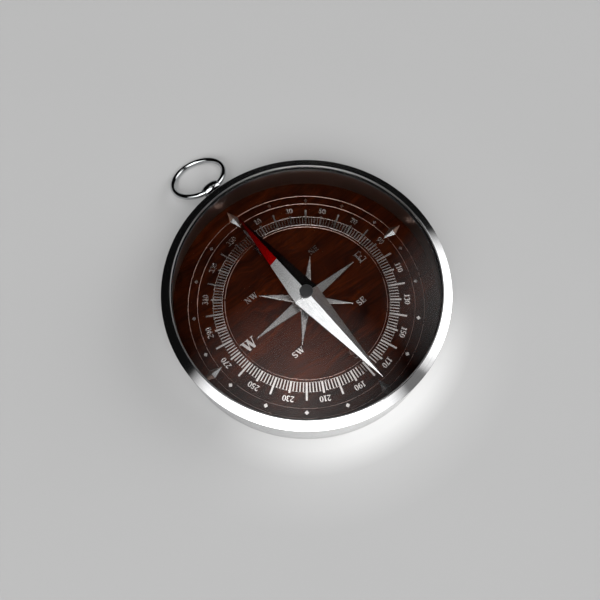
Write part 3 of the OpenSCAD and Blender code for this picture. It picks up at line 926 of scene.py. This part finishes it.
@dataclass
class Case:
    """Steel pan, bezel, glass, gasket and retaining ring."""

    radius: float = 30.0
    wall: float = 0.5
    floor: float = 0.5
    height: float = 10.6
    bottom_round: float = 0.35
    band: float = 0.34
    slope_height: float = 0.95
    slope_width: float = 1.85
    lip: float = 0.35
    lip_thick: float = 0.44
    lip_chamfer: float = 0.07
    fit: float = 0.03
    spigot_base: float = 8.9
    glass_base: float = 10.25
    glass_radius: float = 28.35
    glass_clear: float = 0.05
    glass_bevel: float = 0.12
    gasket_base: float = 10.05
    ring_base: float = 9.55
    groove_radius: float = 28.75
    lip_shade_radius: float = 28.0
    lip_shade_level: float = 12.0

    def build_pan(self) -> None:
        """The drawn pan: floor, rounded bottom edge and wall, turned from one outline."""
        t = np.linspace(0, math.pi / 2, 9)
        edge = np.stack([self.radius - self.bottom_round * (1 - np.sin(t)),
                         self.bottom_round * (1 - np.cos(t))], axis=1)
        inner = self.radius - self.wall
        rest = softened([(self.radius, self.height), (inner, self.height), (inner, self.floor),
                         (0, self.floor), (0, 0)], setback=0.05)
        # Inside the wall the steel is painted dark brown: painted shade, and a painted reflection
        # of the wood.
        steel = WorkedMetal(
            "satin_steel", (0.56, 0.56, 0.56), (0.49, 0.49, 0.5), 0.13, 0.22, density=6.0,
            relief=0.08, inside_radius=inner + 0.01, inside_rough=0.42,
            painted_inside_tone=(0.145, 0.086, 0.065))
        stand_in(turned("case_shell", np.concatenate([edge, rest]), segments=320), steel.build(),
                 "case_pan", "case")

    def build_bezel(self) -> None:
        """The bezel: an upright band, a slope, a flat lip over the glass and a grooved spigot."""
        spigot = self.radius - self.wall - self.fit
        lip_out = self.radius - self.slope_width
        lip_in = lip_out - self.lip
        top = self.height + self.band + self.slope_height
        bore = self.glass_radius + self.glass_clear
        outline = softened([
            (spigot, self.spigot_base), (spigot, self.height), (self.radius, self.height),
            (self.radius, self.height + self.band), (lip_out, top),
            (lip_in + self.lip_chamfer, top), (lip_in, top - self.lip_chamfer),
            (lip_in, top - self.lip_thick), (bore, top - self.lip_thick),
            (bore, self.gasket_base), (self.groove_radius, self.gasket_base),
            (self.groove_radius, self.ring_base), (bore, self.ring_base),
            (bore, self.spigot_base)], setback=0.07)
        # The lip's inner edge is painted dark grey as painted shade.
        steel = WorkedMetal(
            "brushed_steel", (0.9, 0.9, 0.9), (0.8, 0.8, 0.81), 0.07, 0.1, density=9.0,
            relief=0.05, smudge=0.005, scratched=0.01, dusty=0.01, inside_radius=self.lip_shade_radius,
            inside_level=self.lip_shade_level, inside_rough=0.3, painted_inside_tone=(0.3, 0.3, 0.3))
        stand_in(turned("bezel_ring", outline, segments=384), steel.build(),
                 "bezel", "case")

    def build_glass(self) -> None:
        """The flat glass, with a narrow bevel round both edges."""
        top = self.height + self.band + self.slope_height - self.lip_thick
        base, radius, bevel = self.glass_base, self.glass_radius, self.glass_bevel
        outline = softened([(0, base), (radius - bevel, base), (radius, base + bevel),
                            (radius, top - bevel), (radius - bevel, top), (0, top)], setback=0.03)
        stand_in(turned("glass_disc", outline, segments=320),
                 FlatClearGlass("clear_window_glass").build(), "glass", "case")

    def build(self) -> None:
        """Builds the case. The gasket and the split ring under the glass keep their solids."""
        self.build_pan()
        self.build_bezel()
        self.build_glass()
        refine(["glass_gasket"], SoftRubber("black_rubber").build(), edge=0.03, segments=2)
        # The split ring's steel is painted dark as painted shade under the lip.
        refine(["glass_retaining_ring"], WorkedMetal(
            "spring_steel_painted_shade", (0.14, 0.13, 0.13), (0.1, 0.095, 0.095), 0.34, 0.46).build(),
            edge=0.02, segments=2)


@dataclass
class Dial:
    """Wood dial and its applied metal: rings, scale, numerals, markers, rose and letters."""

    radius: float = 29.48
    hole: float = 1.53
    base: float = 0.5
    top: float = 1.4
    line_width: float = 0.105
    line_rise: float = 0.06
    outer_line: float = 26.04
    numeral_line: float = 24.0
    inner_line: float = 17.95
    scale_out: float = 20.57
    scale_in: float = 18.52
    scale_line: float = 0.075
    tick: float = 0.235
    tick_rise: float = 0.004
    bold_tick: float = 0.42
    bold_tick_out: float = 0.46
    far_tick_out: float = 1.77
    diamond_track: float = 24.86
    diamond: float = 0.48
    text: Sequence[str] = ("degree_numerals", "cardinal_letters", "intercardinal_letters")
    rose: Sequence[str] = ("rose_cardinal_rays", "rose_intercardinal_rays")

    def build_wood(self) -> None:
        """Turns the wood disc, which fills the pan from wall to wall."""
        outline = softened([(self.hole, self.base), (self.radius, self.base),
                            (self.radius, self.top), (self.hole, self.top)],
                           setback=0.02, steps=4)
        stand_in(turned("veneer_disc", outline, segments=320),
                 VarnishedWood("varnished_veneer").build(), "wood_dial", "case")

    def build_lines(self, finish: Material) -> None:
        """The three thin ring lines, which lie almost flush in the wood.

        Args:
            finish: Material of the lines.
        """
        for node, radius in (("outer_ring", self.outer_line), ("numeral_ring", self.numeral_line),
                             ("scale_inner_ring", self.inner_line)):
            line = ridge_ring(radius, self.line_width, self.top, self.top + self.line_rise)
            stand_in(make_piece(f"{node}_inlay", *line), finish, node, "case")

    def build_scale(self, finish: Material) -> None:
        """The degree scale: two fine rings and a tick every two degrees.

        Every fifth tick is bold and stands out a little, every tenth stands out far.

        Args:
            finish: Material of the scale.
        """
        step = np.arange(180)
        bold, far = step % 5 == 0, step % 10 == 0
        half = np.where(bold, self.bold_tick, self.tick)[:, None] / 2
        out = self.scale_out + np.where(far, self.far_tick_out,
                                        np.where(bold, self.bold_tick_out, 0.0))[:, None]
        near = self.scale_in + 0 * out
        rise = self.top + self.line_rise
        parts = [ridge_ring(radius, self.scale_line, self.top, rise)
                 for radius in (self.scale_in, self.scale_out)]
        parts.append(studs(
            np.radians(2 * step), half * np.array([[-1, 1, 1, -1]]),
            np.concatenate([near, near, out, out], axis=1), self.top, rise + self.tick_rise))
        stand_in(make_piece("degree_scale_inlay", *joined(parts)), finish, "degree_scale", "case")

    def build_diamonds(self, finish: Material) -> None:
        """The small flat diamonds, 20 degrees apart, with none at north and south.

        Args:
            finish: Material of the diamonds.
        """
        bearings = np.radians([step * 20 for step in range(18) if step % 9])
        faces = studs(bearings, self.diamond * np.array([[0, 1, 0, -1]]),
                      self.diamond_track + self.diamond * np.array([[-1, 0, 1, 0]]), self.top,
                      self.top + self.line_rise)
        stand_in(make_piece("diamond_studs", *faces), finish, "diamond_markers", "case")

    def build(self) -> None:
        """Builds the wood and finishes everything that is applied to it."""
        self.build_wood()
        self.build_lines(WorkedMetal(
            "fine_line_metal", (0.6, 0.45, 0.41), (0.48, 0.34, 0.3), 0.22, 0.28,
            density=3.0, run=6.0, scratched=0.03, dusty=0.04).build())
        pale = WorkedMetal(
            "pale_satin_metal", (1.0, 0.95, 0.92), (0.93, 0.87, 0.84), 0.12, 0.16,
            density=3.0, run=6.0, relief=0.05, scratched=0.04, dusty=0.05).build()
        self.build_scale(pale)
        self.build_diamonds(pale)
        refine(self.text, pale, edge=0.02)
        refine(["cardinal_markers"], WorkedMetal(
            "polished_marker_metal", (0.62, 0.62, 0.62), (0.56, 0.56, 0.57), 0.15, 0.18,
            run=6.0, relief=0.01, smudge=0.02, scratched=0.02, dusty=0.02).build(), edge=0.01)
        refine(self.rose, WorkedMetal(
            "brushed_rose_metal", (0.7, 0.68, 0.67), (0.48, 0.46, 0.45), 0.19, 0.26,
            lay=Lay.RADIAL, density=7.0, relief=0.16, scratched=0.04, dusty=0.06).build(),
            edge=0.02)


@dataclass
class Pivot:
    """Brass base and steel post under the needle."""

    shank: float = 1.5
    shank_base: float = 0.5
    rose_top: float = 1.72
    flange: float = 2.2
    flange_top: float = 2.22
    boss: float = 1.1
    boss_top: float = 3.02
    post: float = 0.45
    post_base: float = 0.8
    post_shoulder: float = 5.25
    point: float = 0.04
    point_z: float = 6.25

    def build(self) -> None:
        """Turns the base and the post."""
        base = softened([
            (self.post, self.post_base), (0, self.post_base), (0, self.shank_base),
            (self.shank, self.shank_base), (self.shank, self.rose_top),
            (self.flange, self.rose_top), (self.flange, self.flange_top),
            (self.boss, self.flange_top), (self.boss, self.boss_top),
            (self.post, self.boss_top)], setback=0.08, steps=4)
        brass = WorkedMetal("turned_brass", (0.72, 0.55, 0.27), (0.5, 0.36, 0.16), 0.2, 0.35,
                            density=8.0)
        stand_in(turned("pivot_boss", base, segments=96), brass.build(),
                 "pivot_base", "case")
        post = softened([
            (0, self.post_base), (self.post, self.post_base), (self.post, self.post_shoulder),
            (self.point, self.point_z), (0, self.point_z)], setback=0.03, steps=4)
        steel = WorkedMetal("hard_steel", (0.62, 0.63, 0.65), (0.5, 0.5, 0.52), 0.12, 0.25,
                            density=8.0)
        stand_in(turned("pivot_pin", post, segments=64), steel.build(),
                 "pivot_post", "case")


@dataclass
class Needle:
    """Folded needle with its cap and jewel."""

    cap_radius: float = 1.44
    cap_base: float = 4.6
    cap_top: float = 7.1
    chamfer: float = 0.12
    bore: float = 0.86
    bore_top: float = 6.65
    jewel_radius: float = 0.85
    jewel_base: float = 5.55
    cup_radius: float = 0.65
    cup_top: float = 6.3

    def build(self) -> None:
        """Finishes the folded sheet, which keeps its solid, and turns the cap and its jewel."""
        refine(["needle"], LacqueredNeedle("needle_bright_and_red").build(), edge=0.035,
               segments=2)
        cap = softened([
            (self.bore, self.cap_base), (self.cap_radius, self.cap_base),
            (self.cap_radius, self.cap_top - self.chamfer),
            (self.cap_radius - self.chamfer, self.cap_top), (0, self.cap_top),
            (0, self.bore_top), (self.bore, self.bore_top)], setback=0.05, steps=4)
        gunmetal = WorkedMetal("dark_gunmetal", (0.07, 0.07, 0.072), (0.05, 0.05, 0.052), 0.3,
                               0.38, relief=0.05, scratched=0.03, dusty=0.1)
        stand_in(turned("needle_hub", cap, segments=96), gunmetal.build(),
                 "needle_cap", "needle")
        jewel = softened([
            (self.cup_radius, self.jewel_base), (self.jewel_radius, self.jewel_base),
            (self.jewel_radius, self.bore_top), (0, self.bore_top), (0, self.cup_top)],
            setback=0.05, steps=4)
        stand_in(turned("pivot_jewel", jewel, segments=64), CutJewel("red_jewel").build(),
                 "jewel_bearing", "needle")


@dataclass
class Bow:
    """Stud with its crowned barrel and collar, and the ring that swings in it."""

    hinge_y: float = 33.6
    hinge_z: float = 5.7
    ring_radius: float = 6.36
    wire_radius: float = 0.65
    clear: float = 0.06
    barrel_radius: float = 1.6
    barrel_length: float = 4.0
    barrel_oval: float = 2.83
    barrel_lip: float = 0.06
    shank_radius: float = 0.9
    shank_start: float = 29.45
    shank_length: float = 3.16
    head_radius: float = 1.15
    head_rise: float = 0.12
    head_rim: float = 0.03
    head_gap: float = 0.02
    collar_radius: float = 1.35
    collar_end: float = 32.0
    collar_bulge: float = 0.3
    collar_fit: float = 0.02
    case_radius: float = 30.0

    def barrel(self) -> Piece:
        """The barrel, the middle of an oval of revolution with radius r sqrt(1 - (x / oval)^2).

        Its bore follows the inside of the ring's curved wire: it widens to the ends as
        R - sqrt((R - w)^2 - x^2).

        Returns:
            The barrel.
        """
        half, lip = self.barrel_length / 2, self.barrel_lip
        x = np.linspace(-half, half, 33)
        inside = self.ring_radius - self.wire_radius - self.clear
        bore = self.ring_radius - np.sqrt(np.maximum(inside**2 - x**2, 0.0))
        outer = self.barrel_radius * np.sqrt(1 - (x / self.barrel_oval) ** 2)
        shell = np.stack([outer[1:-1], x[1:-1]], axis=1)
        ends = np.array([[outer[-1] - lip * 0.2, half - lip], [outer[-1] - lip, half],
                         [bore[-1] + lip * 0.3, half]])
        back = np.stack([bore[::-1][1:-1], x[::-1][1:-1]], axis=1)
        start = ends[::-1] * np.array([1.0, -1.0])
        outline = np.concatenate([shell, ends, back, start])
        return turned("bow_barrel", outline, segments=128, axis=Axis.X,
                      centre=(0.0, self.hinge_y, self.hinge_z))

    def shank(self) -> Piece:
        """The shank from the barrel through the case wall, with a low hammered head inside.

        The head is half an oval, with radius R cos t and height -h sin t below its rim. A point
        near each end of the shank keeps its side straight in its shading.

        Returns:
            The shank.
        """
        t = np.linspace(0, math.pi / 2, 7)[::-1]
        rim, r, end = self.head_rim, self.shank_radius, self.shank_length
        head = np.stack([self.head_radius * np.cos(t), -2 * rim - self.head_rise * np.sin(t)],
                        axis=1)
        body = [[self.head_radius, -rim], [r, -self.head_gap], [r, 0.1], [r, end - 0.16],
                [r, end], [0.0, end]]
        return turned("bow_shank", np.concatenate([head, body]), segments=96, axis=Axis.Y,
                      centre=(0.0, self.shank_start, self.hinge_z))

    def collar(self) -> Piece:
        """The collar, whose side bulges as half an oval and whose root follows the case wall.

        At turn t and radius r the root lies at y = sqrt(R^2 - (r sin t)^2), and the rest of the
        outline keeps its place along the shank.

        Returns:
            The collar.
        """
        bore = self.shank_radius + self.collar_fit
        end, half = self.collar_end, (self.collar_end - self.case_radius) / 2
        t = np.linspace(-math.pi / 2, math.pi / 2, 17)
        bulge = np.stack([self.collar_radius - self.collar_bulge * (1 - np.cos(t)),
                          end - half + half * np.sin(t)], axis=1)
        outline = np.concatenate([[[bore, end], [bore, self.case_radius]], bulge])
        t = once_round(96)[:, None]
        r, y = outline[None, :, 0], outline[None, :, 1]
        root = np.sqrt(self.case_radius**2 - (r * np.sin(t)) ** 2)
        drop = (self.case_radius - root) * np.clip((end - y) / (end - self.case_radius), 0, 1)
        return closed_grid("bow_collar", np.stack(
            [r * np.sin(t), y - drop, self.hinge_z + r * np.cos(t)], axis=-1))

    def ring(self) -> Piece:
        """The ring: a circle of wire carried round a larger circle, lying at its rest slope.

        At turn u round the ring and v round the wire the point is the ring's centre
        + (R + w cos v)(cos u, sin u) in the ring's plane + w sin v across it. At the rest slope
        the ring's far side touches the surface.

        Returns:
            The ring.
        """
        u, v = once_round(256)[:, None], once_round(48)[None, :]
        reach = self.ring_radius + self.wire_radius * np.cos(v)
        along = self.ring_radius + reach * np.sin(u)
        across = self.wire_radius * np.sin(v) + 0 * u
        slope = math.asin((self.hinge_z - self.wire_radius) / (2 * self.ring_radius))
        y = self.hinge_y + along * math.cos(slope) + across * math.sin(slope)
        z = self.hinge_z - along * math.sin(slope) + across * math.cos(slope)
        return closed_grid("bow_hoop", np.stack([reach * np.cos(u), y, z], axis=-1))

    def build(self) -> None:
        """Builds the stud, its collar and the ring."""
        chrome = BrightChrome("bright_chrome").build()
        # The shank's head inside the pan is painted dark brown as painted shade, like the pan's
        # inside.
        painted_head_steel = WorkedMetal("head_steel_painted_shade", (0.14, 0.1, 0.085), (0.1, 0.07, 0.06), 0.4, 0.5,
                             dusty=0.05).build()
        for piece, finish, node, body in (
                (self.barrel(), chrome, "bow_stud", "case"),
                (self.shank(), painted_head_steel, "bow_stud", "case"),
                (self.collar(), chrome, "stud_collar", "case"),
                (self.ring(), chrome, "bow_ring", "bow")):
            stand_in(piece, finish, node, body)


# ---- Studio ----


def heading(bearing: float, elevation: float) -> Vector:
    """Unit vector towards a bearing and an elevation, both in degrees."""
    b, e = math.radians(bearing), math.radians(elevation)
    return Vector((math.sin(b) * math.cos(e), math.cos(b) * math.cos(e), math.sin(e)))


@dataclass(frozen=True)
class SoftBox:
    """A plain rectangular lamp, square to the line from the compass. Lengths are metres.

    Where fade is given, its light falls evenly to nothing at that slope off its axis.
    """

    name: str
    bearing: float
    elevation: float
    distance: float
    width: float
    height: float
    radiance: float
    fade: float = 0.0

    def build(self) -> None:
        """Hangs the lamp. Its power is its radiance times pi times its area.

        A fade f would brighten the middle by f / (f - arctan f), which its power makes up for.
        """
        lamp = bpy.data.lights.new(self.name, "AREA")
        lamp.shape = "RECTANGLE"
        lamp.size, lamp.size_y = self.width, self.height
        lamp.energy = self.radiance * math.pi * self.width * self.height
        if self.fade > 0:
            half = math.atan(self.fade)
            lamp.spread = 2 * half
            lamp.energy *= (self.fade - half) / self.fade
        holder = bpy.data.objects.new(self.name, lamp)
        direction = heading(self.bearing, self.elevation)
        holder.location = direction * self.distance
        holder.rotation_euler = direction.to_track_quat("Z", "Y").to_euler()
        bpy.context.scene.collection.objects.link(holder)


@dataclass(frozen=True)
class Studio:
    """Grey floor, dim surroundings, lamps and the camera."""

    floor_half: float = 3000.0
    floor_tone: Colour = (0.458, 0.458, 0.458)
    floor_cloud: float = 0.97
    painted_glow_tone: Colour = (0.7, 0.7, 0.695)
    painted_glow_bearing: float = 190.0
    painted_glow_spread: tuple[float, float] = (0.42, 0.98)
    painted_glow_rings: tuple[tuple[float, float, float], ...] = ((32.5, 37.5, 0.73), (34.0, 48.0, 0.27))
    world: float = 0.004
    eye: tuple[float, float, float] = (-29.85, -34.15, 124.38)
    target: tuple[float, float, float] = (-1.0, 0.92, 1.4)
    roll: float = -0.746
    lens: float = 35.52
    lamps: tuple[SoftBox, ...] = (
        SoftBox("window_south_west", 226, 45, 3.0, 7.2, 1.8, 3.9, fade=1.195),
        SoftBox("window_east", 112.5, 32, 3.0, 3.4, 2.85, 4.1, fade=0.61),
        SoftBox("skylight_south", 216, 66, 3.0, 2.16, 2.16, 3.6),
        SoftBox("wall_light_south", 157, 36.5, 3.0, 1.2, 1.0, 0.17),
        SoftBox("ceiling_glow_middle", 36.3, 79.9, 3.0, 1.2, 1.2, 1.4, fade=0.2),
        SoftBox("ceiling_glow_east", 79.3, 64.1, 3.0, 0.9, 0.9, 1.5, fade=0.15),
    )

    def build_floor(self) -> None:
        """Lays a wide floor that isn't part of the object, with painted light in its colour.

        A painted glow lightens the floor's colour to the south, where the steel would throw light;
        it fades over two rings. Each ring has the radius where it is full, the radius where it
        ends, and its share.
        """
        half = self.floor_half
        square = np.array([[-half, -half, 0], [half, -half, 0], [half, half, 0], [-half, half, 0]])
        floor = new_piece("floor", square, np.array([[0, 1, 2, 3]]))
        graph = Surface("floor_painted_glow")
        cloud = graph.noise(graph.place(), scale=0.02)
        tone = graph.mix(cloud, self.floor_tone, times(self.floor_tone, self.floor_cloud))
        way, radius, _ = graph.polar()
        turn = math.radians(self.painted_glow_bearing)
        towards = graph.vector("DOT_PRODUCT", way, (math.sin(turn), math.cos(turn), 0.0),
                               output="Value")
        rings = [graph.product(graph.between(radius, full, end, 1.0, 0.0), share)
                 for full, end, share in self.painted_glow_rings]
        # Painted light: the glow is laid into the floor's colour near the case.
        glow = graph.product(graph.math("ADD", *rings),
                             graph.between(towards, *self.painted_glow_spread))
        floor.data.materials.append(graph.finished(
            graph.mix(glow, tone, self.painted_glow_tone), 0.8, Specular_IOR_Level=0.1))

    def build_world(self) -> None:
        """Sets a plain dim grey all round."""
        world = bpy.data.worlds.new("dim_room")
        world.use_nodes = True
        background = world.node_tree.nodes["Background"]
        background.inputs["Color"].default_value = (1.0, 1.0, 1.0, 1.0)
        background.inputs["Strength"].default_value = self.world
        bpy.context.scene.world = world

    def build_camera(self) -> None:
        """Sets the camera at the place, direction, roll and lens that the picture was fitted to."""
        lens = bpy.data.cameras.new("eye")
        lens.sensor_width, lens.lens = 36.0, self.lens
        lens.clip_start, lens.clip_end = 0.005, 10.0
        camera = bpy.data.objects.new("eye", lens)
        eye, target = Vector(self.eye) * MM, Vector(self.target) * MM
        turn = (eye - target).to_track_quat("Z", "Y").to_matrix()
        back = turn.col[2].copy()
        right = Vector((0, 0, 1)).cross(back).normalized()
        up = back.cross(right)
        a = math.radians(self.roll)
        turn.col[0] = right * math.cos(a) + up * math.sin(a)
        turn.col[1] = up * math.cos(a) - right * math.sin(a)
        camera.location = eye
        camera.rotation_euler = turn.to_euler()
        bpy.context.scene.collection.objects.link(camera)
        bpy.context.scene.camera = camera

    def build(self) -> None:
        """Builds the studio and sets the plain view transform."""
        bpy.context.scene.view_settings.view_transform = "Standard"
        self.build_camera()
        self.build_world()
        self.build_floor()
        for lamp in self.lamps:
            lamp.build()


def main() -> None:
    """Builds the studio and every part of the compass."""
    logging.basicConfig(level=logging.INFO, format="%(message)s")
    build_groups()
    for part in (Studio(), Case(), Dial(), Pivot(), Needle(), Bow()):
        part.build()


if __name__ == "__main__":
    main()
